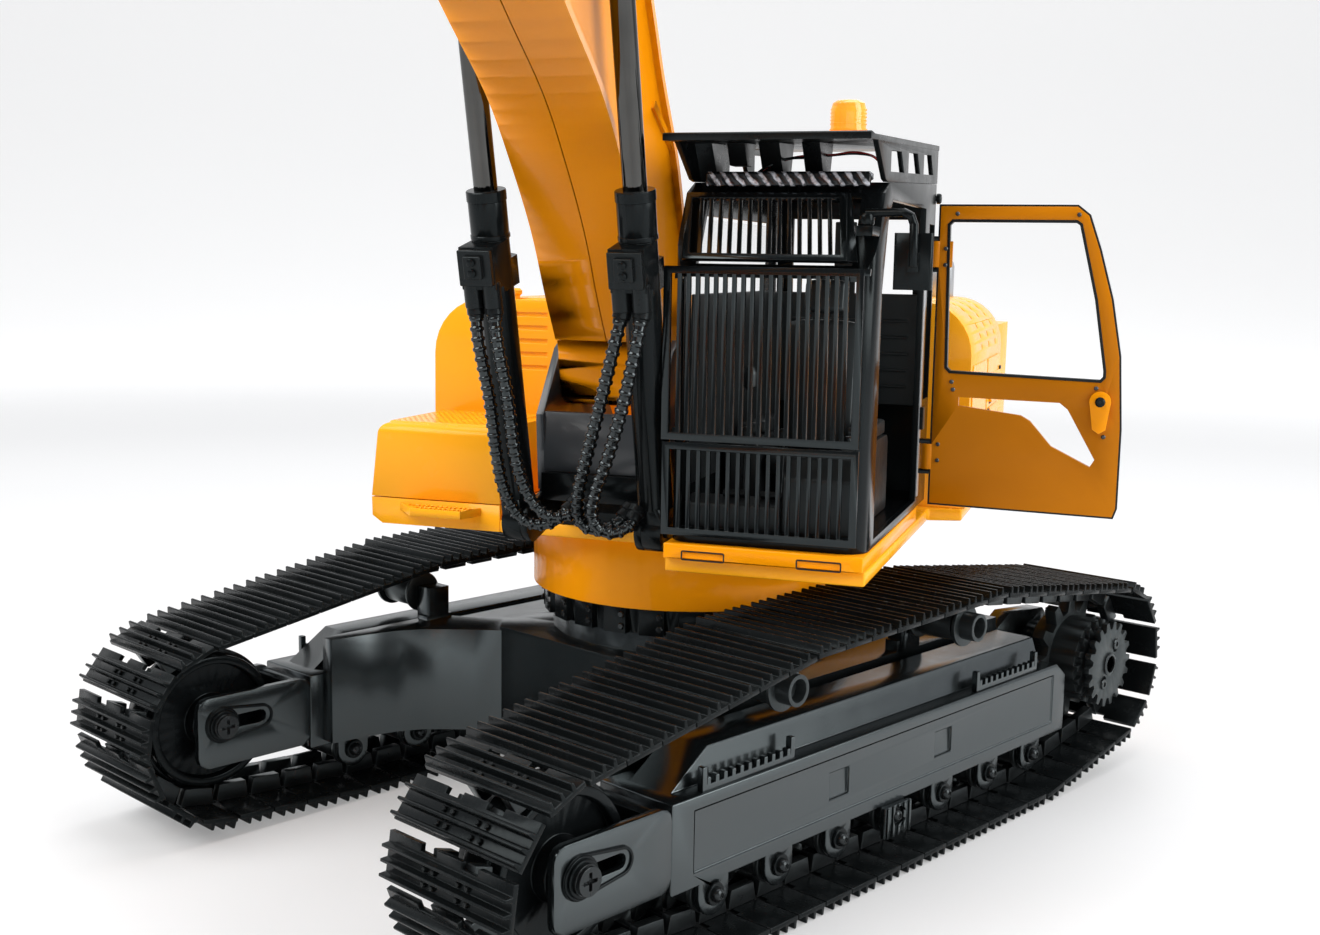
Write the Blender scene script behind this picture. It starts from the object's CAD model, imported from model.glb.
"""Tracked excavator model: finishes for its CAD pieces, added fittings and a studio.

Places are in millimetres with +Z up. -Y is the front and +X the left-hand side. The
undercarriage lies square to the scene; the upper body, with cab, doors and boom, is
turned about Z by SLEW. Shapes are turned into scene metres as they are built.
"""
import math
import random

import bmesh
import bpy
from mathutils import Matrix, Vector

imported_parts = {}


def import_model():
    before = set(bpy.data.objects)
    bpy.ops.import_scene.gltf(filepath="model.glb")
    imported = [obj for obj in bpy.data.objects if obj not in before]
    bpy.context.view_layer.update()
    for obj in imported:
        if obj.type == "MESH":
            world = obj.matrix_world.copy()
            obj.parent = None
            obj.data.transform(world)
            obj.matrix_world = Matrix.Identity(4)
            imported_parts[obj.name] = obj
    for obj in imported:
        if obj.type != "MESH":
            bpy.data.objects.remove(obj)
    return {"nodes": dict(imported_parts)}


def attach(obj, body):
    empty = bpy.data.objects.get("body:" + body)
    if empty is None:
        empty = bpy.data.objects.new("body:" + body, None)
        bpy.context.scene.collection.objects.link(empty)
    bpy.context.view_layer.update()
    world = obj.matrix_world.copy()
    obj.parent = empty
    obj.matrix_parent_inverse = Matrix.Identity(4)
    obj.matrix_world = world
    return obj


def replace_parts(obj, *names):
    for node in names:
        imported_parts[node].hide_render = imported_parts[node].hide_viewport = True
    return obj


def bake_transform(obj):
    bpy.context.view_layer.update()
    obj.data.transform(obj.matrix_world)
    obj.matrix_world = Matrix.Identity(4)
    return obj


cad_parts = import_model()["nodes"]
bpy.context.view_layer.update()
random.seed(7)

MM = 0.001
SLEW = math.radians(25.035)
COS_SLEW, SIN_SLEW = math.cos(SLEW), math.sin(SLEW)


def level(x, y, z):
    """Undercarriage frame to scene metres."""
    return Vector((x, y, z)) * MM


def slewed(x, y, z):
    """Upper body frame to scene metres."""
    return Vector((x * COS_SLEW - y * SIN_SLEW, x * SIN_SLEW + y * COS_SLEW, z)) * MM


# ------------------------------------------------------------------ shader nodes
def new_material(name):
    material = bpy.data.materials.new(name)
    material.use_nodes = True
    tree = material.node_tree
    tree.nodes.clear()
    output = tree.nodes.new("ShaderNodeOutputMaterial")
    shader = tree.nodes.new("ShaderNodeBsdfPrincipled")
    tree.links.new(shader.outputs[0], output.inputs[0])
    place = tree.nodes.new("ShaderNodeTexCoord").outputs["Object"]
    return material, tree, shader, place


def noise(tree, place, scale, detail=3.0, roughness=0.55):
    node = tree.nodes.new("ShaderNodeTexNoise")
    node.inputs["Scale"].default_value = scale
    node.inputs["Detail"].default_value = detail
    node.inputs["Roughness"].default_value = roughness
    tree.links.new(place, node.inputs["Vector"])
    return node.outputs[0]


def ramp(tree, value, low, high):
    """Black below low, white above high."""
    node = tree.nodes.new("ShaderNodeValToRGB")
    node.color_ramp.elements[0].position = low
    node.color_ramp.elements[1].position = high
    tree.links.new(value, node.inputs[0])
    return node.outputs[0]


def mix_color(tree, factor, first, second):
    """Blend of two colours, each an RGB tuple or a socket."""
    node = tree.nodes.new("ShaderNodeMix")
    node.data_type = "RGBA"
    tree.links.new(factor, node.inputs[0])
    for color, socket in ((first, node.inputs[6]), (second, node.inputs[7])):
        if isinstance(color, tuple):
            socket.default_value = color + (1,)
        else:
            tree.links.new(color, socket)
    return node.outputs[2]


def map_range(tree, value, source, target, smooth=False):
    node = tree.nodes.new("ShaderNodeMapRange")
    if smooth:
        node.interpolation_type = "SMOOTHSTEP"
    tree.links.new(value, node.inputs[0])
    for index, limit in enumerate((*source, *target), start=1):
        node.inputs[index].default_value = limit
    return node.outputs[0]


def multiply(tree, first, second):
    node = tree.nodes.new("ShaderNodeMath")
    node.operation = "MULTIPLY"
    node.use_clamp = True
    tree.links.new(first, node.inputs[0])
    tree.links.new(second, node.inputs[1])
    return node.outputs[0]


def bump(tree, height, strength, distance, below=None):
    node = tree.nodes.new("ShaderNodeBump")
    node.inputs["Strength"].default_value = strength
    node.inputs["Distance"].default_value = distance
    tree.links.new(height, node.inputs["Height"])
    if below:
        tree.links.new(below, node.inputs["Normal"])
    return node.outputs[0]


def edge_mask(tree, radius, gain):
    """Mask that is high along the edges of a part."""
    bevel = tree.nodes.new("ShaderNodeBevel")
    bevel.samples = 4
    bevel.inputs["Radius"].default_value = radius
    geometry = tree.nodes.new("ShaderNodeNewGeometry")
    dot = tree.nodes.new("ShaderNodeVectorMath")
    dot.operation = "DOT_PRODUCT"
    tree.links.new(bevel.outputs[0], dot.inputs[0])
    tree.links.new(geometry.outputs["Normal"], dot.inputs[1])
    mask = tree.nodes.new("ShaderNodeMath")
    mask.operation = "MULTIPLY_ADD"
    mask.use_clamp = True
    tree.links.new(dot.outputs["Value"], mask.inputs[0])
    mask.inputs[1].default_value = -gain
    mask.inputs[2].default_value = gain
    return mask.outputs[0]


# ------------------------------------------------------------------ materials
def surface(name, color, other, rough, peel, fine=None, wear=None, wear_color=None,
            metal=0.0, coat=0.0, specular=0.5, vary=18.0):
    """Opaque finish mottled between two colours.

    rough: lowest and highest roughness
    peel, fine: coarse and fine relief as (noise scale, strength, distance)
    wear: rubbed edges as (edge radius in m, gain, noise scale)
    vary: noise scale of the mottling
    """
    material, tree, shader, place = new_material(name)
    inputs = shader.inputs
    mottle = noise(tree, place, vary, detail=4.0, roughness=0.6)
    base = mix_color(tree, ramp(tree, mottle, low=0.3, high=0.7), color, other)
    if wear:
        radius, gain, scale = wear
        patches = noise(tree, place, scale, detail=5.0, roughness=0.7)
        edges = edge_mask(tree, radius, gain)
        rubbed = multiply(tree, edges, ramp(tree, patches, low=0.45, high=0.62))
        base = mix_color(tree, rubbed, base, wear_color)
    tree.links.new(base, inputs["Base Color"])
    smudges = noise(tree, place, vary * 6, detail=5.0, roughness=0.65)
    gloss = map_range(tree, smudges, source=(0.3, 0.7), target=rough)
    tree.links.new(gloss, inputs["Roughness"])
    inputs["Metallic"].default_value = metal
    inputs["Specular IOR Level"].default_value = specular
    if color[0] < 0.03 and metal < 0.5:
        # dark paints reflect slightly cold
        inputs["Specular Tint"].default_value = (0.86, 1.0, 1.04, 1)
    if coat:
        inputs["Coat Weight"].default_value = coat
        inputs["Coat Roughness"].default_value = 0.06
    relief = None
    for layer in (peel, fine):
        if layer:
            scale, strength, distance = layer
            grain = noise(tree, place, scale, detail=2.0, roughness=0.5)
            relief = bump(tree, grain, strength, distance, below=relief)
    tree.links.new(relief, inputs["Normal"])
    if coat:
        tree.links.new(relief, inputs["Coat Normal"])
    return material


# grain shared by several finishes
GLOSS_GRAIN = dict(peel=(230.0, 0.10, 0.0004), fine=(1400.0, 0.03, 0.0001),
                   wear=(0.0005, 2.5, 300.0), vary=9.0)
BLACK_GRAIN = dict(peel=(420.0, 0.05, 0.0003), fine=(2600.0, 0.04, 0.0001),
                   wear=(0.0005, 2.0, 420.0), vary=12.0)
STEEL_GRAIN = dict(fine=(2400.0, 0.10, 0.0002), wear=(0.0005, 3.0, 260.0), vary=30.0)
SCREW_GRAIN = dict(peel=(1500.0, 0.08, 0.0001), wear=(0.0003, 3.0, 700.0), vary=60.0)
BLACK_COLORS = dict(color=(0.0030, 0.0038, 0.0042), other=(0.0045, 0.0055, 0.0060))

ORANGE = surface(
    "paint_orange", (0.95, 0.338, 0.003), (0.92, 0.315, 0.002), rough=(0.18, 0.28),
    coat=0.09, specular=0.07, wear_color=(0.84, 0.44, 0.09), **GLOSS_GRAIN)
ORANGE_BOOM = surface(
    "paint_orange_boom", (0.83, 0.285, 0.002), (0.80, 0.268, 0.002), rough=(0.16, 0.26),
    coat=0.10, specular=0.07, wear_color=(0.80, 0.42, 0.08), **GLOSS_GRAIN)
ORANGE_BODY = surface(
    "paint_orange_body", (0.97, 0.415, 0.012), (0.95, 0.395, 0.010), rough=(0.20, 0.30),
    coat=0.12, specular=0.13, wear_color=(0.88, 0.50, 0.12), **GLOSS_GRAIN)
ORANGE_SATIN = surface(
    "paint_orange_satin", (0.54, 0.178, 0.001), (0.46, 0.148, 0.001), rough=(0.30, 0.42),
    coat=0.03, specular=0.08, peel=(500.0, 0.08, 0.0003), fine=(2200.0, 0.06, 0.0001),
    wear=(0.0005, 2.5, 300.0), wear_color=(0.62, 0.27, 0.03), vary=14.0)
BLACK = surface(
    "paint_black", **BLACK_COLORS, rough=(0.18, 0.26), specular=0.15,
    peel=(420.0, 0.07, 0.0003), fine=(2600.0, 0.05, 0.0001),
    wear=(0.0005, 2.0, 420.0), wear_color=(0.022, 0.026, 0.028), vary=12.0)
FRAME = surface(
    "frame_black", (0.0032, 0.0040, 0.0044), (0.0048, 0.0058, 0.0063), rough=(0.20, 0.27),
    specular=1.0, wear_color=(0.03, 0.034, 0.036), **BLACK_GRAIN)
BLACK_SATIN = surface(
    "black_satin", (0.0045, 0.0052, 0.0056), (0.0065, 0.0072, 0.0076), rough=(0.24, 0.34),
    specular=0.2, peel=(700.0, 0.10, 0.0003), fine=(3200.0, 0.08, 0.0001),
    wear=(0.0005, 2.0, 420.0), wear_color=(0.02, 0.022, 0.024), vary=16.0)
TRACK = surface(
    "track_steel", (0.0036, 0.0046, 0.0050), (0.0060, 0.0070, 0.0074), rough=(0.20, 0.30),
    specular=0.11, peel=(520.0, 0.12, 0.0004), wear_color=(0.085, 0.088, 0.09), **STEEL_GRAIN)
CHAIN = surface(
    "chain_steel", (0.006, 0.007, 0.0075), (0.010, 0.011, 0.0115), rough=(0.26, 0.40),
    metal=0.2, peel=(600.0, 0.12, 0.0004), wear_color=(0.06, 0.065, 0.07), **STEEL_GRAIN)
WHEEL = surface(
    "wheel_satin", (0.016, 0.019, 0.020), (0.022, 0.025, 0.026), rough=(0.30, 0.42),
    metal=0.3, peel=(600.0, 0.10, 0.0003), fine=(2400.0, 0.08, 0.0001),
    wear=(0.0005, 3.0, 260.0), wear_color=(0.08, 0.085, 0.09), vary=24.0)
GREY = surface(
    "paint_grey", (0.030, 0.036, 0.042), (0.042, 0.048, 0.054), rough=(0.30, 0.42),
    coat=0.1, peel=(500.0, 0.08, 0.0003), fine=(2600.0, 0.06, 0.0001),
    wear=(0.0005, 2.5, 420.0), wear_color=(0.12, 0.125, 0.13), vary=12.0)
CHROME = surface(
    "rod_chrome", (0.095, 0.095, 0.092), (0.065, 0.065, 0.063), rough=(0.07, 0.13),
    metal=1.0, peel=(900.0, 0.03, 0.0001), vary=26.0)
SCREW = surface(
    "screw_steel", (0.07, 0.075, 0.08), (0.045, 0.05, 0.055), rough=(0.22, 0.36),
    metal=0.9, wear_color=(0.3, 0.3, 0.3), **SCREW_GRAIN)
SCREW_BLACK = surface(
    "screw_black", (0.012, 0.013, 0.014), (0.018, 0.019, 0.020), rough=(0.16, 0.28),
    metal=0.4, wear_color=(0.12, 0.12, 0.12), **SCREW_GRAIN)
SILVER = surface(
    "silver_cap", (0.50, 0.52, 0.54), (0.43, 0.45, 0.47), rough=(0.25, 0.4),
    metal=0.8, peel=(900.0, 0.05, 0.0001), vary=26.0)
GUARD = surface(
    "guard_black", **BLACK_COLORS, rough=(0.12, 0.19), specular=0.42,
    wear_color=(0.04, 0.045, 0.048), **BLACK_GRAIN)


def lamp_strip():
    """Strip of lit diodes behind a clear rod: slanting bright and dark bands."""
    material, tree, shader, place = new_material("lamp_strip")
    wave = tree.nodes.new("ShaderNodeTexWave")
    wave.wave_type = "BANDS"
    wave.bands_direction = "DIAGONAL"
    wave.inputs["Scale"].default_value = 124.0
    wave.inputs["Distortion"].default_value = 2.2
    wave.inputs["Detail"].default_value = 2.0
    wave.inputs["Detail Scale"].default_value = 2.0
    tree.links.new(place, wave.inputs["Vector"])
    bands = wave.outputs["Fac"]
    speckle = noise(tree, place, scale=700.0, detail=3.0, roughness=0.6)
    bright = ramp(tree, bands, low=0.55, high=0.85)
    lit = multiply(tree, bright, ramp(tree, speckle, low=0.3, high=0.6))
    color = mix_color(tree, lit, (0.012, 0.014, 0.016), (0.62, 0.64, 0.70))
    tree.links.new(color, shader.inputs["Base Color"])
    gloss = map_range(tree, speckle, source=(0.0, 1.0), target=(0.12, 0.30))
    tree.links.new(gloss, shader.inputs["Roughness"])
    shader.inputs["Metallic"].default_value = 0.3
    relief = bump(tree, bands, strength=0.4, distance=0.0004)
    tree.links.new(relief, shader.inputs["Normal"])
    return material


LAMP = lamp_strip()
RUBBER = surface(
    "hose_rubber", (0.0035, 0.0037, 0.0040), (0.006, 0.006, 0.0065), rough=(0.14, 0.20),
    specular=0.55, peel=(1600.0, 0.10, 0.0002), vary=60.0)
PLASTIC = surface(
    "black_plastic", (0.0055, 0.006, 0.0065), (0.009, 0.0095, 0.010), rough=(0.36, 0.52),
    peel=(2600.0, 0.15, 0.0001), vary=30.0)
DARK = surface(
    "dark_gap", (0.003, 0.003, 0.003), (0.004, 0.004, 0.004), rough=(0.6, 0.8),
    peel=(900.0, 0.05, 0.0001))
RED = surface(
    "wire_red", (0.35, 0.012, 0.010), (0.28, 0.010, 0.008), rough=(0.25, 0.4),
    peel=(1600.0, 0.08, 0.0001), vary=60.0)


def glassy(name, color, transmission, rough, alpha=1.0, glow=None, glow_strength=0.0):
    material, tree, shader, place = new_material(name)
    inputs = shader.inputs
    if glow:
        inputs["Emission Color"].default_value = glow + (1,)
        inputs["Emission Strength"].default_value = glow_strength
    cloud = noise(tree, place, scale=120.0, detail=3.0, roughness=0.5)
    shade = ramp(tree, cloud, low=0.35, high=0.7)
    darker = tuple(channel * 0.9 for channel in color)
    tree.links.new(mix_color(tree, shade, color, darker), inputs["Base Color"])
    inputs["Roughness"].default_value = rough
    inputs["Transmission Weight"].default_value = transmission
    inputs["Alpha"].default_value = alpha
    relief = bump(tree, cloud, strength=0.05, distance=0.0002)
    tree.links.new(relief, inputs["Normal"])
    return material


AMBER = glassy("amber_lens", (1.0, 0.50, 0.06), transmission=0.6, rough=0.12,
               glow=(1.0, 0.42, 0.04), glow_strength=0.32)
CLEAR = glassy("clear_pane", (0.40, 0.43, 0.45), transmission=0.0, rough=0.04, alpha=0.10)


# ------------------------------------------------------------------ outlines and paths
def rectangle(p0, p1, q0, q1):
    return [(p0, q0), (p1, q0), (p1, q1), (p0, q1)]


def rounded(outline, radius, steps=5):
    """Outline with its corners cut by curves."""
    points = []
    for i, corner in enumerate(outline):
        corner = Vector(corner)
        back = Vector(outline[i - 1]) - corner
        ahead = Vector(outline[(i + 1) % len(outline)]) - corner
        cut = min(radius, back.length * 0.45, ahead.length * 0.45)
        start = corner + back.normalized() * cut
        end = corner + ahead.normalized() * cut
        for k in range(steps + 1):
            t = k / steps
            point = start * (1 - t) ** 2 + corner * 2 * t * (1 - t) + end * t * t
            points.append((point.x, point.y))
    return points


def offset(outline, distance):
    """Closed outline moved sideways, to the left of its direction."""
    points = []
    for i, corner in enumerate(outline):
        corner = Vector(corner)
        before = (corner - Vector(outline[i - 1])).normalized()
        after = (Vector(outline[(i + 1) % len(outline)]) - corner).normalized()
        miter = Vector((-before.y, before.x)) + Vector((-after.y, after.x))
        miter = miter * (2.0 / miter.length_squared)
        points.append((corner.x + miter.x * distance, corner.y + miter.y * distance))
    return points


def spline(points, steps):
    """Smooth curve through the points."""
    knots = [Vector(p) for p in points]
    knots = [knots[0] * 2 - knots[1]] + knots + [knots[-1] * 2 - knots[-2]]
    curve = []
    for a, b, c, d in zip(knots, knots[1:], knots[2:], knots[3:]):
        for k in range(steps):
            t = k / steps
            curve.append(0.5 * ((2 * b) + (c - a) * t + (2 * a - 5 * b + 4 * c - d) * t * t
                                + (3 * b - a - 3 * c + d) * t ** 3))
    curve.append(knots[-2])
    return curve


def resample(points, step):
    """Points at an even spacing along a path."""
    even = [points[0]]
    run = 0.0
    for a, b in zip(points, points[1:]):
        length = (b - a).length
        while run + length >= step:
            a = a.lerp(b, (step - run) / length)
            even.append(a)
            length = (b - a).length
            run = 0.0
        run += length
    return even


def facing_y(p, q, t):
    """Outline in X and Z, thickness along Y."""
    return (p, t, q)


# ------------------------------------------------------------------ meshes
def place_object(name, mesh, material, smooth=True):
    mesh.materials.append(material)
    obj = bpy.data.objects.new(name, mesh)
    bpy.context.scene.collection.objects.link(obj)
    if smooth:
        for polygon in mesh.polygons:
            polygon.use_smooth = True
    return obj


def make_object(name, verts, faces, material, sheet=False):
    """Mesh object; a sheet has its corners merged, its faces upward and flat shading."""
    mesh = bpy.data.meshes.new(name)
    mesh.from_pydata([tuple(v) for v in verts], [], faces)
    bm = bmesh.new()
    bm.from_mesh(mesh)
    if sheet:
        bmesh.ops.remove_doubles(bm, verts=bm.verts, dist=1e-6)
    bmesh.ops.recalc_face_normals(bm, faces=bm.faces)
    if sheet and sum(face.normal.z for face in bm.faces) < 0:
        bmesh.ops.reverse_faces(bm, faces=bm.faces)
    bm.to_mesh(mesh)
    bm.free()
    return place_object(name, mesh, material, smooth=not sheet)


def soften_edges(obj, width, segments, angle):
    bevel = obj.modifiers.new("edge", "BEVEL")
    bevel.width = width * MM
    bevel.segments = segments
    bevel.limit_method = "ANGLE"
    bevel.angle_limit = math.radians(angle)
    bevel.harden_normals = True


class Shape:
    """Several solids in one mesh; frame turns millimetres into scene metres.

    put(p, q, t) places outline point (p, q) at depth t.
    """

    def __init__(self, frame=slewed):
        self.verts = []
        self.faces = []
        self.frame = frame

    def add(self, verts, faces):
        first = len(self.verts)
        self.verts += [self.frame(*v) for v in verts]
        self.faces += [tuple(i + first for i in face) for face in faces]

    def prism(self, outline, put, start, end):
        n = len(outline)
        verts = [put(p, q, t) for t in (start, end) for p, q in outline]
        faces = [tuple(range(n))[::-1], tuple(range(n, 2 * n))]
        faces += [(i, (i + 1) % n, n + (i + 1) % n, n + i) for i in range(n)]
        self.add(verts, faces)

    def box(self, x0, x1, y0, y1, z0, z1):
        self.prism(rectangle(x0, x1, y0, y1), lambda p, q, t: (p, q, t), z0, z1)

    def side(self, outline, x0, x1):
        """Prism with its outline in Y and Z."""
        self.prism(outline, lambda p, q, t: (t, p, q), x0, x1)

    def band(self, outline, offset0, offset1, put, start, end):
        """Closed strip between two offsets of an outline."""
        first, second = offset(outline, offset0), offset(outline, offset1)
        n = len(outline)
        corners = ((first, start), (second, start), (second, end), (first, end))
        verts = [put(*point, t) for points, t in corners for point in points]
        faces = []
        for i in range(n):
            j = (i + 1) % n
            for r in range(4):
                r2 = (r + 1) % 4
                faces.append((r * n + i, r * n + j, r2 * n + j, r2 * n + i))
        self.add(verts, faces)

    def skin(self, rings, cap_start=True, cap_end=True):
        """Tube through rings of equal point count."""
        n = len(rings[0])
        last = (len(rings) - 1) * n
        faces = [(j + k, j + (k + 1) % n, j + n + (k + 1) % n, j + n + k)
                 for j in range(0, last, n) for k in range(n)]
        if cap_start:
            faces.append(tuple(range(n))[::-1])
        if cap_end:
            faces.append(tuple(range(last, last + n)))
        self.add([v for ring in rings for v in ring], faces)

    def lathe(self, profile, origin, axis, sides=24):
        """Profile of (radius, height) turned about the axis through origin."""
        axis = Vector(axis).normalized()
        helper = Vector((0, 0, 1)) if abs(axis.z) < 0.9 else Vector((1, 0, 0))
        across = axis.cross(helper).normalized()
        along = axis.cross(across)
        turns = [2 * math.pi * k / sides for k in range(sides)]
        rings = [[Vector(origin) + axis * height + across * (radius * math.cos(a))
                  + along * (radius * math.sin(a)) for a in turns]
                 for radius, height in profile]
        self.skin(rings, profile[0][0] > 1e-6, profile[-1][0] > 1e-6)

    def sweep(self, path, radii, sides):
        """Round tube along a path, one radius per point."""
        path = [Vector(p) for p in path]
        rings = []
        across = None
        for i, point in enumerate(path):
            heading = (path[min(i + 1, len(path) - 1)] - path[max(i - 1, 0)]).normalized()
            if across is None:
                helper = Vector((1, 0, 0)) if abs(heading.x) < 0.8 else Vector((0, 1, 0))
                across = heading.cross(helper).normalized()
            else:
                across = (across - heading * across.dot(heading)).normalized()
            along = heading.cross(across)
            turns = [2 * math.pi * k / sides for k in range(sides)]
            rings.append([point + across * (radii[i] * math.cos(a))
                          + along * (radii[i] * math.sin(a)) for a in turns])
        self.skin(rings)

    def cushion(self, x0, x1, profile, inset, steps=10):
        """Side profile drawn narrower towards both flanks, so that it swells."""
        rings = []
        for i in range(steps + 1):
            angle = math.pi * (i / steps)
            x = x0 + (x1 - x0) * (0.5 - 0.5 * math.cos(angle))
            narrowed = offset(profile, inset * (1 - abs(math.sin(angle)) ** 0.5))
            rings.append([(x, y, z) for y, z in narrowed])
        self.skin(rings)

    def done(self, name, material, body, bevel=0.0, segments=2):
        """Make the object, finish its edges and hang it on a body."""
        obj = make_object(name, self.verts, self.faces, material)
        if bevel > 0:
            soften_edges(obj, bevel, segments, angle=32)
        else:
            obj.modifiers.new("split", "EDGE_SPLIT").split_angle = math.radians(35)
        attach(obj, body)
        return obj


# ------------------------------------------------------------------ CAD pieces
# material, edge width, piece names; pieces not listed take DEFAULT_FINISH
DEFAULT_FINISH = (BLACK, 0.5)
FINISHES = [
    (ORANGE, 0.7, "cab_sill"),
    (ORANGE, 0.4, "swing_skirt door_handle"),
    (ORANGE_BODY, 0.7, "storage_box box_step hood side_cover counterweight deck"),
    (ORANGE_BOOM, 0.7, "boom arm bucket"),
    (ORANGE_SATIN, 0.45, "door"),
    (FRAME, 0.5, "side_frames idler_yokes center_frame step_combs final_drives track_guides"),
    (GREY, 0.4, "boom_bracket"),
    (TRACK, 0.25, "track_shoes_l track_shoes_r"),
    (CHAIN, 0.3, "track_links_l track_links_r"),
    (CHROME, 0.3, "boom_rod_l boom_rod_r arm_rod bucket_rod"),
    (SCREW, 0.3, "undercarriage_screws"),
    (SILVER, 0.3, "exhaust"),
    (AMBER, 0.3, "beacon"),
    (LAMP, 0.25, "light_bar"),
    (WHEEL, 0.3, "sprocket_l sprocket_r carrier_roller_fl carrier_roller_fr "
                 "carrier_roller_rl carrier_roller_rr track_rollers"),
    (PLASTIC, 0.8, "seat lever_l lever_r"),
    (RUBBER, 0.3, "hoses_l hoses_r"),
    (GUARD, 0.35, "guard_lower guard_middle guard_upper"),
    (BLACK, 0.8, "cab_shell"),
    (BLACK_SATIN, 0.8, "visor"),
]
finish_of = {name: (material, width)
             for material, width, names in FINISHES for name in names.split()}
for name, obj in cad_parts.items():
    material, width = finish_of.get(name, DEFAULT_FINISH)
    obj.data.materials.clear()
    obj.data.materials.append(material)
    obj.modifiers.new("weld", "WELD").merge_threshold = 1e-6
    soften_edges(obj, width, segments=2, angle=35)
    for polygon in obj.data.polygons:
        polygon.use_smooth = True

# ------------------------------------------------------------------ boom cylinder hoses
HOSE_STEP = 0.26
HOSE_RADIUS, RIB_RADIUS = 1.75, 2.2
RIB_PITCH, RIB_WIDTH = 3.05, 1.3
# (x, y, z) of two hoses on each side, from the cylinder tube down to the body
HOSE_PATHS = {
    "r": [[(-33, -114.4, 182.7), (-32, -114.5, 172), (-29.8, -111.5, 155),
           (-29.3, -107.5, 138), (-28.2, -104.5, 126), (-25, -101.5, 117.5),
           (-20, -99.5, 114), (-14.5, -98.8, 114.5), (-10.5, -97.5, 117.5),
           (-8.5, -95.2, 119.5)],
          [(-26.8, -114.4, 182.7), (-25.4, -115, 172), (-23.4, -112, 155),
           (-22.8, -108, 138), (-21, -105, 127), (-17.5, -102.5, 120),
           (-12.5, -101.5, 117), (-7, -99.5, 118), (-4.2, -97.5, 120), (-3, -95.2, 120.5)]],
    "l": [[(14.8, -114.4, 182.7), (12.6, -115.5, 172), (7.4, -112.5, 155),
           (1.6, -108.5, 138), (-2.2, -105.5, 126.5), (-3.4, -103, 119),
           (-1.5, -101.5, 114.8), (3, -100, 113.8), (8, -98.4, 116), (10.4, -95.6, 119)],
          [(21, -114.4, 182.7), (19.6, -116, 172), (14.8, -113, 155),
           (8.6, -109, 138), (4, -106.5, 127.5), (2, -104.8, 119.5),
           (3.8, -103.4, 114.8), (8, -101.6, 113.4), (12.2, -99, 115.5), (13.4, -96.4, 119)]],
}
# (radius, height) along the hose
HOSE_END = [(2.0, -1.5), (2.9, -1.5), (2.9, 0.6), (2.5, 0.9), (2.5, 3.2), (2.1, 3.6)]
HOSE_SLEEVE = [(2.75, -1.2), (2.75, 2.2), (2.3, 2.6), (2.3, 3.6)]


def hose_radius(index):
    """Core radius with a rounded rib at the start of every pitch."""
    along = (index * HOSE_STEP) % RIB_PITCH
    if along > RIB_WIDTH:
        return HOSE_RADIUS
    rise = min(1.0, 2.2 * math.sin(math.pi * along / RIB_WIDTH))
    return HOSE_RADIUS + (RIB_RADIUS - HOSE_RADIUS) * rise


def ribbed_hoses(side):
    part = Shape()
    for path in HOSE_PATHS[side]:
        points = resample(spline(path, 40), HOSE_STEP)
        part.sweep(points, [hose_radius(i) for i in range(len(points))], sides=14)
    hoses = make_object("ribbed_hoses_" + side, part.verts, part.faces, RUBBER)
    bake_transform(hoses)
    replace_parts(hoses, "hoses_" + side)


def hose_collars(name, side, end, neighbour, profile, sunk, body):
    """Collar on one end of both hoses; end and neighbour index the path points."""
    part = Shape()
    for path in HOSE_PATHS[side]:
        tip = Vector(path[end])
        heading = (Vector(path[neighbour]) - tip).normalized()
        part.lathe(profile, tip - heading * sunk, heading, 16)
    part.done(name + side, BLACK_SATIN, body)


for side in "lr":
    ribbed_hoses(side)
    hose_collars("hose_ends_", side, -1, -2, HOSE_END, 0.6, "house")
    hose_collars("hose_sleeves_", side, 0, 1, HOSE_SLEEVE, 0.0, "boom_tube_" + side)

# ------------------------------------------------------------------ boom cylinder fittings
TUBE_X = {"l": 17.9, "r": -29.9}
TUBE_FOOT_Y, TUBE_FOOT_Z = -88, 113
TUBE_LEAN = math.atan2(175.0, -43.0) - math.pi / 2
UP, FORWARD = (0, 0, 1), (0, -1, 0)


def along_tube(tube_x):
    """Frame with Z along a leaning cylinder tube."""
    cos_lean, sin_lean = math.cos(TUBE_LEAN), math.sin(TUBE_LEAN)

    def frame(x, y, z):
        return slewed(tube_x + x, TUBE_FOOT_Y + y * cos_lean - z * sin_lean,
                      TUBE_FOOT_Z + y * sin_lean + z * cos_lean)
    return frame


def manifold(side):
    """Block in front of the tube clamp, with two round bosses below it."""
    part = Shape(along_tube(TUBE_X[side]))
    part.box(-5.4, 5.4, -13.6, -8.6, 81.5, 92.5)
    part.box(-2.9, 2.9, -15.2, -8.0, 84.0, 91.0)
    for sign in (-1, 1):
        part.lathe([(2.9, 74.0), (2.9, 81.8), (2.4, 82.4)], (sign * 3.1, -9.4, 0), UP, 18)
    part.done("manifold_" + side, BLACK_SATIN, "boom_tube_" + side, bevel=0.45)


def gland_ring(side):
    """Two buttons on the manifold and two rings round the tube."""
    part = Shape(along_tube(TUBE_X[side]))
    for z in (86.0, 89.2):
        part.lathe([(1.3, 0), (1.3, 1.0), (1.0, 1.2), (0.0, 1.2)], (0, -15.0, z), FORWARD, 12)
    part.lathe([(5.9, 104.8), (6.15, 105.0), (6.15, 107.9), (5.9, 108.15), (3.9, 108.2)],
               (0, 0, 0), UP, 32)
    part.lathe([(5.75, 93.2), (6.1, 93.5), (6.1, 94.7), (5.75, 95.0)], (0, 0, 0), UP, 32)
    part.done("gland_ring_" + side, BLACK, "boom_tube_" + side)


for side in "lr":
    manifold(side)
    gland_ring(side)

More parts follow.
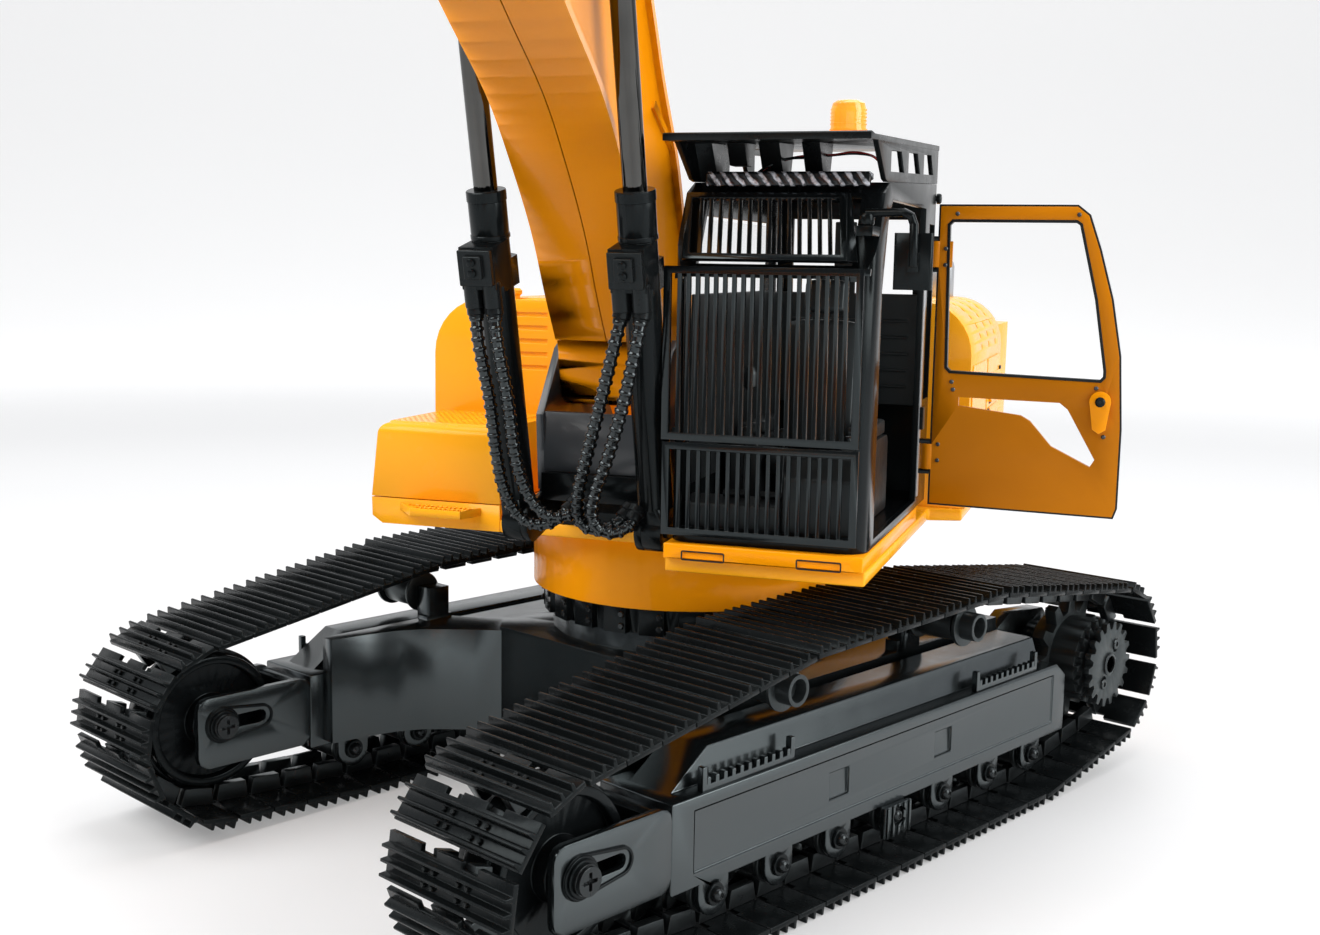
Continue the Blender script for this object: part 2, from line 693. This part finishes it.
# ------------------------------------------------------------------ door, open square to the cab
# (x, z) outlines and screw places
DOOR_OUTLINE = [
    (91.3, 114), (153.6, 113), (154.6, 116), (154.6, 143), (153.1, 168),
    (149.6, 187), (144.8, 203.7), (140.8, 215), (137, 218), (91.3, 218)]
WINDOW_OUTLINE = [
    (96.6, 160.8), (95.2, 162.2), (94.3, 211.6), (95.6, 213), (137, 213),
    (138.4, 212), (144.6, 187), (148.6, 163), (148.6, 160.8), (147.4, 159.5)]
DOOR_SCREWS = [
    (97.4, 157.3), (146.2, 157.0), (97.0, 215.4), (137.6, 215.3), (98.0, 154.6),
    (149.4, 140.5), (93.5, 203.4), (93.5, 197.8), (93.5, 135.0), (93.5, 129.3)]
HANDLE_X, HANDLE_Z = 147.8, 152.5

part = Shape()
part.band(DOOR_OUTLINE, 0.35, -0.65, facing_y, -3.08, -0.65)
part.band(WINDOW_OUTLINE, 0.55, -0.45, facing_y, -3.4, -0.6)
part.done("door_edge_seal", BLACK_SATIN, "door", bevel=0.15)

part = Shape()
part.band(DOOR_OUTLINE, 1.25, 0.55, facing_y, -3.09, -2.96)
part.done("door_pressed_edge", ORANGE_SATIN, "door", bevel=0.04)

part = Shape()
for x, z in DOOR_SCREWS:
    part.lathe([(0.75, 0.0), (0.75, 0.35), (0.5, 0.62), (0, 0.62)], (x, -3.15, z), FORWARD, 12)
part.done("door_screws", SCREW, "door")

part = Shape()
part.lathe([(1.7, 0), (1.7, 0.5), (1.2, 0.9), (0, 0.9)],
           (HANDLE_X, -4.95, HANDLE_Z), FORWARD, 16)
part.done("handle_screw", BLACK, "door_handle")
part = Shape()
part.lathe([(0.55, 0), (0.55, 0.05), (0, 0.05)], (HANDLE_X, -5.86, HANDLE_Z), FORWARD, 6)
part.done("handle_screw_socket", DARK, "door_handle")


# ------------------------------------------------------------------ perforated covers
def perforated(name, x0, x1, y0, y1, z, pitch_x, pitch_y, hole, rise, stretch):
    """Raised sheet of staggered eight-sided holes above a dark floor.

    hole: hole radius, rise: sheet height, stretch: hole length along Y over its width
    """
    columns, rows = int((x1 - x0) / pitch_x), int((y1 - y0) / pitch_y)
    top = z + rise
    verts, faces = [], []
    for j in range(rows):
        for i in range(columns):
            left, right = x0 + i * pitch_x, x0 + (i + 1) * pitch_x
            near, far = y0 + j * pitch_y, y0 + (j + 1) * pitch_y
            stagger = pitch_x * 0.16 if j % 2 else -pitch_x * 0.16
            mid_x = (left + right) / 2 + stagger
            mid_y = (near + far) / 2
            cell = [(left, near), (mid_x, near), (right, near), (right, mid_y),
                    (right, far), (mid_x, far), (left, far), (left, mid_y)]
            turns = [math.radians(225 + 45 * k) for k in range(8)]
            rim = [(mid_x + hole * math.cos(a), mid_y + hole * stretch * math.sin(a))
                   for a in turns]
            first = len(verts)
            verts += [(x, y, top) for x, y in cell + rim]
            verts += [(x, y, z + 0.02) for x, y in rim]
            for k in range(8):
                a, b = first + k, first + (k + 1) % 8
                faces.append((a, b, b + 8, a + 8))
                faces.append((a + 8, b + 8, b + 16, a + 16))
    part = Shape()
    part.add(verts, faces)
    # sloping edge down to the cover
    x1, y1 = x0 + columns * pitch_x, y0 + rows * pitch_y
    inner = rectangle(x0, x1, y0, y1)
    foot = rectangle(x0 - 0.5, x1 + 0.5, y0 - 0.5, y1 + 0.5)
    part.add([(x, y, top) for x, y in inner] + [(x, y, z) for x, y in foot],
             [(0, 1, 5, 4), (1, 2, 6, 5), (2, 3, 7, 6), (3, 0, 4, 7)])
    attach(make_object(name, part.verts, part.faces, ORANGE_BODY, sheet=True), "house")
    under = Shape()
    under.add([(x, y, z + 0.04) for x, y in inner], [(0, 1, 2, 3)])
    under.done(name + "_under", DARK, "house")


perforated("box_grille", -94.5, -53.5, -55.5, -13.0, z=138.78,
           pitch_x=2.35, pitch_y=1.9, hole=0.62, rise=0.55, stretch=0.8)
perforated("hood_grille", -76.5, -40.5, -6.0, 56.0, z=182.38,
           pitch_x=2.5, pitch_y=2.2, hole=0.7, rise=0.5, stretch=0.8)
perforated("engine_grille", -24.0, 12.0, 70.0, 130.0, z=171.98,
           pitch_x=2.8, pitch_y=3.2, hole=0.75, rise=0.5, stretch=1.6)

# ------------------------------------------------------------------ cab interior
CAB_FLOOR_Z = 114.1

# rear and right-hand linings, with five ribs on the rear one
part = Shape()
part.box(29.5, 82, 19.2, 20.4, 146, 187)
part.box(49.5, 57.5, 19.4, 20.6, 186, 213)
part.side([(-88, 128), (17, 128), (17, 187.5), (-86, 187.5)], 27.1, 28.0)
part.box(28.4, 29.6, 6, 20.4, 114.2, 187)
for z in (152.5, 158.5, 164.5, 170.5, 176.5):
    part.box(34, 78, 18.6, 19.4, z, z + 1.2)
part.done("cab_lining", PLASTIC, "house", bevel=0.4)

part = Shape()
part.side([(-88, 142), (11, 142), (11, 211), (-76, 211), (-88, 190)], 26.2, 26.7)
part.done("side_glass", CLEAR, "house")

# dashboard and low front bulkhead
part = Shape()
part.side([(-96.5, 114.3), (-96.5, 133), (-92, 139), (-84, 141), (-80, 138), (-83, 130),
           (-88, 126), (-89, 114.3)], 60, 82.5)
part.side([(-96.5, 114.3), (-96.5, 124), (-88, 126), (-86, 120), (-89, 114.3)], 29, 60)
part.done("dash_console", PLASTIC, "house", bevel=0.9, segments=3)

# pedals, each with an upright lever and knob
part = Shape()
for x in (40, 52):
    part.side([(-88, 114.4), (-80, 114.4), (-82, 121), (-90.5, 128), (-91.5, 126.5),
               (-84, 120)], x, x + 7)
    stem_x = x + 3.5
    part.sweep([(stem_x, -82, 116), (stem_x, -79, 130), (stem_x, -78, 142)], [0.7] * 3, 10)
    part.lathe([(0.7, 0), (1.6, 1.2), (1.7, 3.4), (0.9, 4.6), (0, 4.7)],
               (stem_x, -78, 141.5), (0, 0.05, 1), 16)
part.done("foot_levers", BLACK_SATIN, "house", bevel=0.3)

# (y, z) profiles
SEAT = rounded([(-52, 126.5), (-24, 125.5), (-24, 134), (-50, 135.5), (-54, 133)], 3.0)
BACKREST = rounded([(-33, 134), (-24, 133), (-19.5, 178), (-27, 179)], 3.0)
HEADREST = rounded([(-27.6, 181), (-20.5, 180), (-19.2, 192), (-25.5, 192.5)], 2.5)
CONSOLE = rounded([(-58, CAB_FLOOR_Z), (-58, 138), (-55, 140), (-24, 140), (-22, 138),
                   (-22, CAB_FLOOR_Z)], 2.0)
ARMREST = rounded([(-44, 140), (-24, 140), (-24, 145.5), (-44, 144.5)], 1.6)
part = Shape()
part.cushion(43, 69, SEAT, inset=2.4)
part.cushion(44, 68, BACKREST, inset=2.4)
part.cushion(49, 63, HEADREST, inset=1.8)
part.box(48, 64, -50, -28, CAB_FLOOR_Z, 126.6)
for x in (52, 58.4):
    part.box(x, x + 1.6, -24.5, -22.5, 176, 184)
for x in (33, 70):
    part.side(CONSOLE, x, x + 9)
    part.cushion(x + 0.8, x + 8.2, ARMREST, inset=1.0)
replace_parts(part.done("driver_seat", PLASTIC, "house", bevel=0.3), "seat")

# ------------------------------------------------------------------ cab exterior
part = Shape()
part.box(86.45, 86.95, -4.2, -1.2, 116, 206)
part.done("post_strip", SILVER, "house", bevel=0.12)

# catch on the same post and round knob near the roof
part = Shape()
part.box(86.9, 88.2, -4.6, -0.8, 140, 148)
part.lathe([(1.9, 0), (1.9, 1.2), (1.5, 1.7), (0, 1.8)], (86.3, 20, 221.5), (1, 0, 0), 20)
part.done("post_catch", BLACK_SATIN, "house", bevel=0.25)

# two outlined hand grips in the cab sill
part = Shape()
for x in (30.6, 66.6):
    grip = rounded(rectangle(x, x + 13.8, 106.9, 110.0), 0.7, 4)
    part.band(grip, 0.0, 0.4, facing_y, -103.12, -102.8)
part.done("sill_grip_lines", DARK, "house")

# wires of the lamp strip; gap parts the red wire from the black one
WIRE_RADIUS = 0.42
for name, material, gap in (("wire_black", RUBBER, 0.0), ("wire_red", RED, 0.9)):
    part = Shape()
    points = spline([
        (46, -82 + gap, 224.4), (49, -80 + gap, 226.8), (54, -76 + gap, 229.2),
        (60, -73, 229.8 + gap * 0.6), (67, -71, 230.6), (73, -69, 231.2 + gap * 0.4),
        (78, -66, 230.8), (80, -62, 229.2)], 8)
    part.sweep(points, [WIRE_RADIUS] * len(points), sides=8)
    part.done(name, material, "house")

part = Shape()
part.prism(rounded(rectangle(93.0, 102.0, 191.4, 205.6), 1.0, 4), facing_y, -97.25, -96.95)
part.done("mirror_glass", SILVER, "mirror_arm", bevel=0.1)
part = Shape()
part.lathe([(2.0, 0), (2.3, 0.6), (2.3, 2.8), (1.9, 3.4), (1.2, 3.5)],
           (84.1, -101.5, 208.6), UP, 20)
part.done("mirror_collar", BLACK, "mirror_arm")

# beacon base ring and the fine rings of its lens
part = Shape()
part.lathe([(5.65, 0), (5.95, 0.15), (5.95, 0.7), (5.65, 0.85)], (69.4, -60, 238.6), UP, 32)
for k in range(5):
    part.lathe([(5.62, 0), (5.75, 0.15), (5.75, 0.3), (5.62, 0.45)],
               (69.4, -60.2, 240.6 + k * 1.1), UP, 32)
part.done("beacon_rings", AMBER, "house")

# ------------------------------------------------------------------ undercarriage fixings
TRACK_X = 89.6
FRAME_HALF = 14.6
ROLLER_Y0, ROLLER_PITCH, ROLLER_Z, ROLLER_COUNT = -99.1, 30, 15.8, 7
IDLER_Y, IDLER_Z = -153, 36.8
SPROCKET_Y, SPROCKET_Z = 130.8, 42.1
# (radius, height) off the side frame
ROLLER_WASHER = [(3.5, 0.0), (3.5, 0.7), (3.3, 0.95), (2.1, 0.95)]
ROLLER_BOLT = [(2.3, 0.9), (2.3, 1.5), (2.05, 2.2), (1.5, 2.75), (0.95, 2.95), (0.95, 2.3),
               (0.0, 2.3)]
IDLER_WASHERS = [[(6.2, 0.0), (6.2, 0.8), (5.9, 1.1), (2.4, 1.1)],
                 [(5.4, 1.1), (5.4, 1.7), (5.1, 2.0), (2.4, 2.0)]]


def pan_head(part, center, axis, radius, height, cross):
    """Round screw head with a cross recess; cross is the half-length of its arms."""
    axis = Vector(axis).normalized()
    across = Vector((0, 1, 0))
    along = axis.cross(across)
    center = Vector(center)

    def put(p, q, t):
        return center + across * p + along * q + axis * t

    turns = [2 * math.pi * k / 24 for k in range(24)]
    disc = [(radius * math.cos(a), radius * math.sin(a)) for a in turns]
    part.prism(disc, put, 0.0, height * 0.45)
    # four quarters stand round the recess
    arm = cross * 0.22
    rim_radius = radius * 0.93
    rim = [(rim_radius * math.cos(a), rim_radius * math.sin(a))
           for a in [math.pi / 2 * k / 6 for k in range(7)]]
    quarter = [(arm, arm), (cross, arm), (cross, 0.0)] + rim + [(0.0, cross), (arm, cross)]
    for k in range(4):
        c, s = math.cos(math.pi / 2 * k), math.sin(math.pi / 2 * k)
        turned = [(x * c - y * s, x * s + y * c) for x, y in quarter]
        part.prism(turned, put, height * 0.44, height)


roller_ys = [ROLLER_Y0 + ROLLER_PITCH * i for i in range(ROLLER_COUNT)]
bolts = Shape(level)
washers = Shape(level)
for track in (-1, 1):
    for face in (-1, 1):
        x = track * TRACK_X + face * FRAME_HALF
        axis = (face, 0, 0)
        for y in roller_ys:
            washers.lathe(ROLLER_WASHER, (x, y, ROLLER_Z), axis, 24)
            bolts.lathe(ROLLER_BOLT, (x, y, ROLLER_Z), axis, 18)
        for profile in IDLER_WASHERS:
            washers.lathe(profile, (x, IDLER_Y, IDLER_Z), axis, 32)
        pan_head(bolts, (x + face * 2.0, IDLER_Y, IDLER_Z), axis,
                 radius=4.4, height=2.2, cross=2.5)
    # shafts through the wheels
    for radius, y, z in [(2.0, y, ROLLER_Z) for y in roller_ys] + [(2.2, IDLER_Y, IDLER_Z)]:
        washers.lathe([(radius, -FRAME_HALF), (radius, FRAME_HALF)],
                      (track * TRACK_X, y, z), (1, 0, 0), 16)
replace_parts(bolts.done("frame_bolts", SCREW_BLACK, "undercarriage", bevel=0.15),
            "undercarriage_screws")
washers.done("frame_washers", BLACK, "undercarriage", bevel=0.12)


def arc(y, z, radius, start, turn, steps):
    """Points on an arc, with its angles in degrees."""
    angles = [math.radians(start + turn * k / steps) for k in range(steps + 1)]
    return [(y + radius * math.cos(a), z + radius * math.sin(a)) for a in angles]


# raised rims round the idler slots
SLOT = arc(IDLER_Y, IDLER_Z, 6.4, 70, 220, 14) + arc(-137.5, IDLER_Z, 4.2, -80, 160, 10)
part = Shape(level)
for track in (-1, 1):
    for face in (-1, 1):
        x = track * TRACK_X + face * 14.5
        part.band(SLOT, 0.0, 0.9, lambda p, q, t: (x + face * t, p, q), -0.2, 0.7)
part.done("slot_rims", BLACK, "undercarriage", bevel=0.2)

# slewing ring: two rows of bolts round its wall and one row standing up
part = Shape(level)
for k in range(24):
    angle = math.radians(15 * k + 3.0)
    c, s = math.cos(angle), math.sin(angle)
    for z in (71.2, 75.4):
        part.lathe([(1.25, 0), (1.25, 0.9), (0.95, 1.2), (0, 1.25)],
                   (53.2 * c, 53.2 * s, z), (c, s, 0), 6)
for k in range(36):
    angle = math.radians(10 * k)
    part.lathe([(1.5, 0), (1.5, 1.3), (1.1, 1.7), (0, 1.7)],
               (47.8 * math.cos(angle), 47.8 * math.sin(angle), 68.4), UP, 6)
part.done("ring_bolts", SCREW_BLACK, "undercarriage")

# ------------------------------------------------------------------ track shoe bolts
# loop of the track in (y, z): two round ends, a flat bottom run and a kinked top run
REAR_END, FRONT_END, END_RADIUS = (SPROCKET_Y, SPROCKET_Z), (-154.8, 36.8), 26.4
BOTTOM_FRONT, BOTTOM_REAR = (-99, 7.0), (81, 7.0)
TOP_REAR, TOP_FRONT = (39, 80.8), (-63, 78.6)
SHOE_COUNT = 55
BOLT_DEPTH = -4.65


def bearing(start, end):
    return math.atan2(end[1] - start[1], end[0] - start[0])


def tangent(point, center, sign):
    """Where a line from a point touches a round end of the track."""
    gap = math.hypot(center[0] - point[0], center[1] - point[1])
    heading = bearing(point, center) + sign * math.asin(END_RADIUS / gap)
    run = math.sqrt(gap * gap - END_RADIUS * END_RADIUS)
    return (point[0] + run * math.cos(heading), point[1] + run * math.sin(heading))


def straight(start, end):
    """Length of a run and a function giving (y, z, heading) along it."""
    dy, dz = end[0] - start[0], end[1] - start[1]
    length = math.hypot(dy, dz)
    return length, lambda s: (start[0] + dy * (s / length), start[1] + dz * (s / length),
                              bearing(start, end))


def round_end(center, start, end, extra=0.0):
    """Like straight, for an arc between two tangent points."""
    first, last = bearing(center, start), bearing(center, end) + extra

    def at(s):
        angle = first + s / END_RADIUS
        return (center[0] + END_RADIUS * math.cos(angle),
                center[1] + END_RADIUS * math.sin(angle), angle + math.pi / 2)
    return END_RADIUS * (last - first), at


rear_low, rear_high = tangent(BOTTOM_REAR, REAR_END, -1), tangent(TOP_REAR, REAR_END, 1)
front_high, front_low = tangent(TOP_FRONT, FRONT_END, -1), tangent(BOTTOM_FRONT, FRONT_END, 1)
track_loop = [
    straight(BOTTOM_FRONT, BOTTOM_REAR),
    straight(BOTTOM_REAR, rear_low),
    round_end(REAR_END, rear_low, rear_high),
    straight(rear_high, TOP_REAR),
    straight(TOP_REAR, TOP_FRONT),
    straight(TOP_FRONT, front_high),
    round_end(FRONT_END, front_high, front_low, extra=2 * math.pi),
    straight(front_low, BOTTOM_FRONT),
]
loop_length = sum(length for length, _ in track_loop)


def on_track(distance):
    for length, at in track_loop:
        if distance <= length:
            return at(distance)
        distance -= length


part = Shape(level)
for track in (-1, 1):
    for i in range(SHOE_COUNT):
        y, z, heading = on_track((i + 0.5) * loop_length / SHOE_COUNT)
        c, s = math.cos(heading), math.sin(heading)
        for x in (-8.6, -5.0, 5.0, 8.6):
            for along in (3.2, -0.8):
                center = (track * TRACK_X + x, y + along * c - BOLT_DEPTH * s,
                          z + along * s + BOLT_DEPTH * c)
                part.lathe([(0.85, -0.3), (0.85, 0.75), (0.6, 1.0), (0, 1.0)],
                           center, (0, s, -c), 6)
part.done("shoe_bolts", TRACK, "undercarriage")

# two bolts and a hub cap on each toothed disc
for side, sign in (("l", 1), ("r", -1)):
    part = Shape(level)
    x = sign * (TRACK_X + 19.8)
    for k in range(2):
        angle = math.radians(60 + 180 * k)
        place = (x, SPROCKET_Y + 8.6 * math.cos(angle), SPROCKET_Z + 8.6 * math.sin(angle))
        part.lathe([(2.2, -0.4), (2.2, 0.35), (1.9, 0.6), (1.0, 0.6), (1.0, 0.2), (0, 0.2)],
                   place, (sign, 0, 0), 18)
    part.lathe([(4.6, -0.2), (4.6, 0.4), (4.2, 0.6), (3.4, 0.6), (3.4, -0.2)],
               (x, SPROCKET_Y, SPROCKET_Z), (sign, 0, 0), 28)
    part.done("disc_bolts_" + side, SCREW_BLACK, "sprocket_" + side)

# ------------------------------------------------------------------ hood, side and rear covers
part = Shape()
part.lathe([(1.6, 0), (1.6, 1.4), (2.4, 2.2), (2.4, 3.4), (1.6, 4.2), (0, 4.3)],
           (-67, -8, 182.3), UP, 20)
part.done("hood_knob", ORANGE_BODY, "house")

# raised doors: x of the cover, outward sign, y range, top z
DOOR_FOOT_Z = 117.0
SERVICE_DOORS = [
    (-100.0, -1, -5.5, 57.0, 158.5), (-100.0, -1, 64.0, 132.5, 158.5),
    (99.9, 1, 36.0, 82.0, 160.5), (99.9, 1, 85.5, 133.0, 160.5)]
part = Shape()
for x, out, y0, y1, z1 in SERVICE_DOORS:
    outline = rounded(rectangle(y0, y1, DOOR_FOOT_Z, z1), 2.6)
    part.side(outline, *sorted((x - out * 0.1, x + out * 0.55)))
part.done("service_doors", ORANGE_BODY, "house", bevel=0.3)

# pressed louvres with their shadow slots
LOUVRE_Z0, LOUVRE_PITCH, LOUVRE_COUNT = 124, 4.6, 7
part = Shape()
gaps = Shape()
for out, x, y0, y1 in ((-1, -100.55, 74, 122), (1, 100.45, 93, 126)):
    for i in range(LOUVRE_COUNT):
        z = LOUVRE_Z0 + i * LOUVRE_PITCH
        profile = [(x, z + 2.5), (x + out * 0.35, z + 2.3), (x + out * 1.25, z + 0.3),
                   (x + out * 1.2, z), (x, z + 0.05)]
        n = len(profile)
        part.add([(px, y, pz) for y in (y0, y1) for px, pz in profile],
                 [tuple(range(n)), tuple(range(n, 2 * n))[::-1]]
                 + [(k, (k + 1) % n, n + (k + 1) % n, n + k) for k in range(n)])
        gap_x = sorted((x - out * 0.05, x + out * 0.08))
        gaps.box(*gap_x, y0 + 0.6, y1 - 0.6, z - 1.0, z - 0.15)
part.done("side_louvres", ORANGE_BODY, "house")
gaps.done("louvre_gaps", DARK, "house")

part = Shape()
for out, x, y in ((-1, -100.55, 51), (-1, -100.55, 70), (1, 100.45, 76), (1, 100.45, 90)):
    part.lathe([(2.5, 0), (2.5, 0.35), (2.2, 0.6), (0, 0.6)], (x, y, 137.5), (out, 0, 0), 22)
    part.box(*sorted((x + out * 0.5, x + out * 1.1)), y - 0.55, y + 0.55, 135.9, 139.1)
part.done("door_latches", BLACK_SATIN, "house", bevel=0.12)

# door screws, then two cups on top of the rear weight and four bolts on its back
part = Shape()
for out, x, ys in ((-1, -100.45, (-1.5, 10, 128)), (1, 100.35, (38.5, 129.5))):
    for y in ys:
        for z in (121.5, 154.5):
            part.lathe([(0.95, 0), (0.95, 0.55), (0.65, 0.85), (0, 0.85)],
                       (x, y, z), (out, 0, 0), 12)
for sign in (-1, 1):
    part.lathe([(2.8, 0), (2.8, 1.4), (2.4, 1.8), (1.4, 1.8), (1.4, 1.0), (0, 1.0)],
               (sign * 62, 176, 166.0), UP, 24)
for degrees in (70, 110):
    c, s = math.cos(math.radians(degrees)), math.sin(math.radians(degrees))
    for z in (104, 160):
        part.lathe([(2.3, -0.3), (2.3, 0.9), (1.9, 1.2), (0, 1.2)],
                   (218 * c, 218 * s, z), (c, s, 0), 6)
part.done("cover_bolts", SCREW_BLACK, "house")


def on_rear(degrees):
    """put for outlines on the round back of the rear weight."""
    c, s = math.cos(math.radians(degrees)), math.sin(math.radians(degrees))
    return lambda p, q, t: ((217.2 + t) * c - p * s, (217.2 + t) * s + p * c, q)


part = Shape()
lenses = Shape()
for degrees in (67.6, 112.4):
    put = on_rear(degrees)
    part.prism(rounded(rectangle(-8.5, 8.5, 142, 149.5), 1.6, 4), put, 0.0, 1.9)
    lenses.prism(rounded(rectangle(-7.3, 7.3, 143.2, 148.3), 1.0, 4), put, 1.8, 2.4)
part.done("rear_lamp_frames", BLACK_SATIN, "house", bevel=0.3)
lenses.done("rear_lamp_lenses", RED, "house", bevel=0.25)

# ------------------------------------------------------------------ studio, in metres
FLOOR_TURN = math.radians(43.45)
VIEW_TURN, VIEW_DIP, VIEW_ROLL = (math.radians(a) for a in (43.452, 7.862, 0.95))
CAMERA_PLACE = (0.37395, -0.40974, 0.19716)


def heading_axes(turn):
    """Level unit vectors ahead and to the right."""
    return (Vector((-math.sin(turn), math.cos(turn), 0)),
            Vector((math.cos(turn), math.sin(turn), 0)))


def floor_material():
    """Pale floor that glows more strongly away from the model."""
    material, tree, shader, place = new_material("floor_white")
    cloud = noise(tree, place, scale=3.0, detail=4.0, roughness=0.5)
    color = mix_color(tree, cloud, (0.50, 0.503, 0.51), (0.475, 0.478, 0.485))
    tree.links.new(color, shader.inputs["Base Color"])
    shader.inputs["Roughness"].default_value = 0.55
    distance = tree.nodes.new("ShaderNodeVectorMath")
    distance.operation = "LENGTH"
    tree.links.new(place, distance.inputs[0])
    glow = map_range(tree, distance.outputs["Value"], source=(1.15, 2.35),
                     target=(0.27, 0.615), smooth=True)
    shader.inputs["Emission Color"].default_value = (1.0, 1.0, 1.0, 1)
    tree.links.new(glow, shader.inputs["Emission Strength"])
    return material


def studio_floor():
    """Floor that curves up into a back wall."""
    flat_end, bend, wall_top = 2.2, 1.4, 5.5
    profile = [(-6.0, 0.0), (flat_end, 0.0)]
    for k in range(1, 13):
        a = math.radians(90 * k / 12)
        profile.append((flat_end + bend * math.sin(a), bend * (1 - math.cos(a))))
    profile.append((3.6, wall_top))
    ahead, right = heading_axes(FLOOR_TURN)
    bm = bmesh.new()
    rows = [[bm.verts.new(ahead * depth + right * x + Vector((0, 0, height - 0.0002)))
             for x in (-9, -3, 3, 9)] for depth, height in profile]
    for low, high in zip(rows, rows[1:]):
        for k in range(3):
            bm.faces.new((low[k], low[k + 1], high[k + 1], high[k]))
    mesh = bpy.data.meshes.new("floor")
    bm.to_mesh(mesh)
    bm.free()
    place_object("floor", mesh, floor_material())


def studio_world():
    """Light that grows stronger ahead of the camera; even where seen directly."""
    world = bpy.data.worlds.new("studio")
    bpy.context.scene.world = world
    world.use_nodes = True
    tree = world.node_tree
    background = tree.nodes["Background"]
    background.inputs[0].default_value = (0.93, 0.95, 1.0, 1)
    place = tree.nodes.new("ShaderNodeTexCoord")
    facing = tree.nodes.new("ShaderNodeVectorMath")
    facing.operation = "DOT_PRODUCT"
    tree.links.new(place.outputs["Generated"], facing.inputs[0])
    facing.inputs[1].default_value = (-math.sin(VIEW_TURN), math.cos(VIEW_TURN), 0.15)
    strength = map_range(tree, facing.outputs["Value"], source=(-0.55, 0.55),
                         target=(0.16, 0.85), smooth=True)
    rays = tree.nodes.new("ShaderNodeLightPath")
    choice = tree.nodes.new("ShaderNodeMix")
    tree.links.new(rays.outputs["Is Camera Ray"], choice.inputs[0])
    tree.links.new(strength, choice.inputs[2])
    choice.inputs[3].default_value = 0.92
    tree.links.new(choice.outputs[0], background.inputs[1])


def area_light(name, place, size, power, color=(1, 1, 1), target=(0, 0, 0.12)):
    light = bpy.data.lights.new(name, "AREA")
    light.shape = "RECTANGLE"
    light.size, light.size_y = size
    light.energy = power
    light.color = color
    obj = bpy.data.objects.new(name, light)
    obj.location = place
    aim = Vector(target) - Vector(place)
    obj.rotation_euler = aim.to_track_quat("-Z", "Y").to_euler()
    bpy.context.scene.collection.objects.link(obj)


def studio_lights():
    ahead, right = heading_axes(VIEW_TURN)

    def seen(depth, x, z):
        """Place by its depth and sideways distance as the camera faces."""
        return ahead * depth + right * x + Vector((0, 0, z))

    area_light("key", seen(-0.6, -1.0, 1.25), size=(1.3, 1.0), power=24.5,
               color=(1.0, 0.985, 0.96))
    area_light("fill", seen(-0.7, 1.3, 0.7), size=(1.0, 1.1), power=22,
               color=(1.0, 0.99, 0.97))
    area_light("low", seen(-0.95, 0.1, 0.16), size=(0.9, 0.3), power=0.9,
               color=(1.0, 0.99, 0.97), target=(0, 0, 0.08))
    area_light("top", (0.1, 0.25, 1.6), size=(1.3, 1.3), power=13, target=(0, 0, 0))
    area_light("rim", seen(2.0, 0.6, 1.6), size=(1.4, 0.9), power=8)


def studio_camera():
    forward = Vector((-math.sin(VIEW_TURN) * math.cos(VIEW_DIP),
                      math.cos(VIEW_TURN) * math.cos(VIEW_DIP), -math.sin(VIEW_DIP)))
    right = heading_axes(VIEW_TURN)[1]
    up = right.cross(forward)
    x_axis = right * math.cos(VIEW_ROLL) + up * math.sin(VIEW_ROLL)
    y_axis = -right * math.sin(VIEW_ROLL) + up * math.cos(VIEW_ROLL)
    camera = bpy.data.cameras.new("camera")
    camera.sensor_width = 36.0
    camera.lens = 40.55
    camera.clip_start = 0.01
    obj = bpy.data.objects.new("camera", camera)
    rows = zip(x_axis, y_axis, -forward, CAMERA_PLACE)
    obj.matrix_world = Matrix((*rows, (0, 0, 0, 1)))
    bpy.context.scene.collection.objects.link(obj)
    bpy.context.scene.camera = obj


studio_floor()
studio_world()
studio_lights()
studio_camera()
bpy.context.scene.view_settings.view_transform = "Standard"
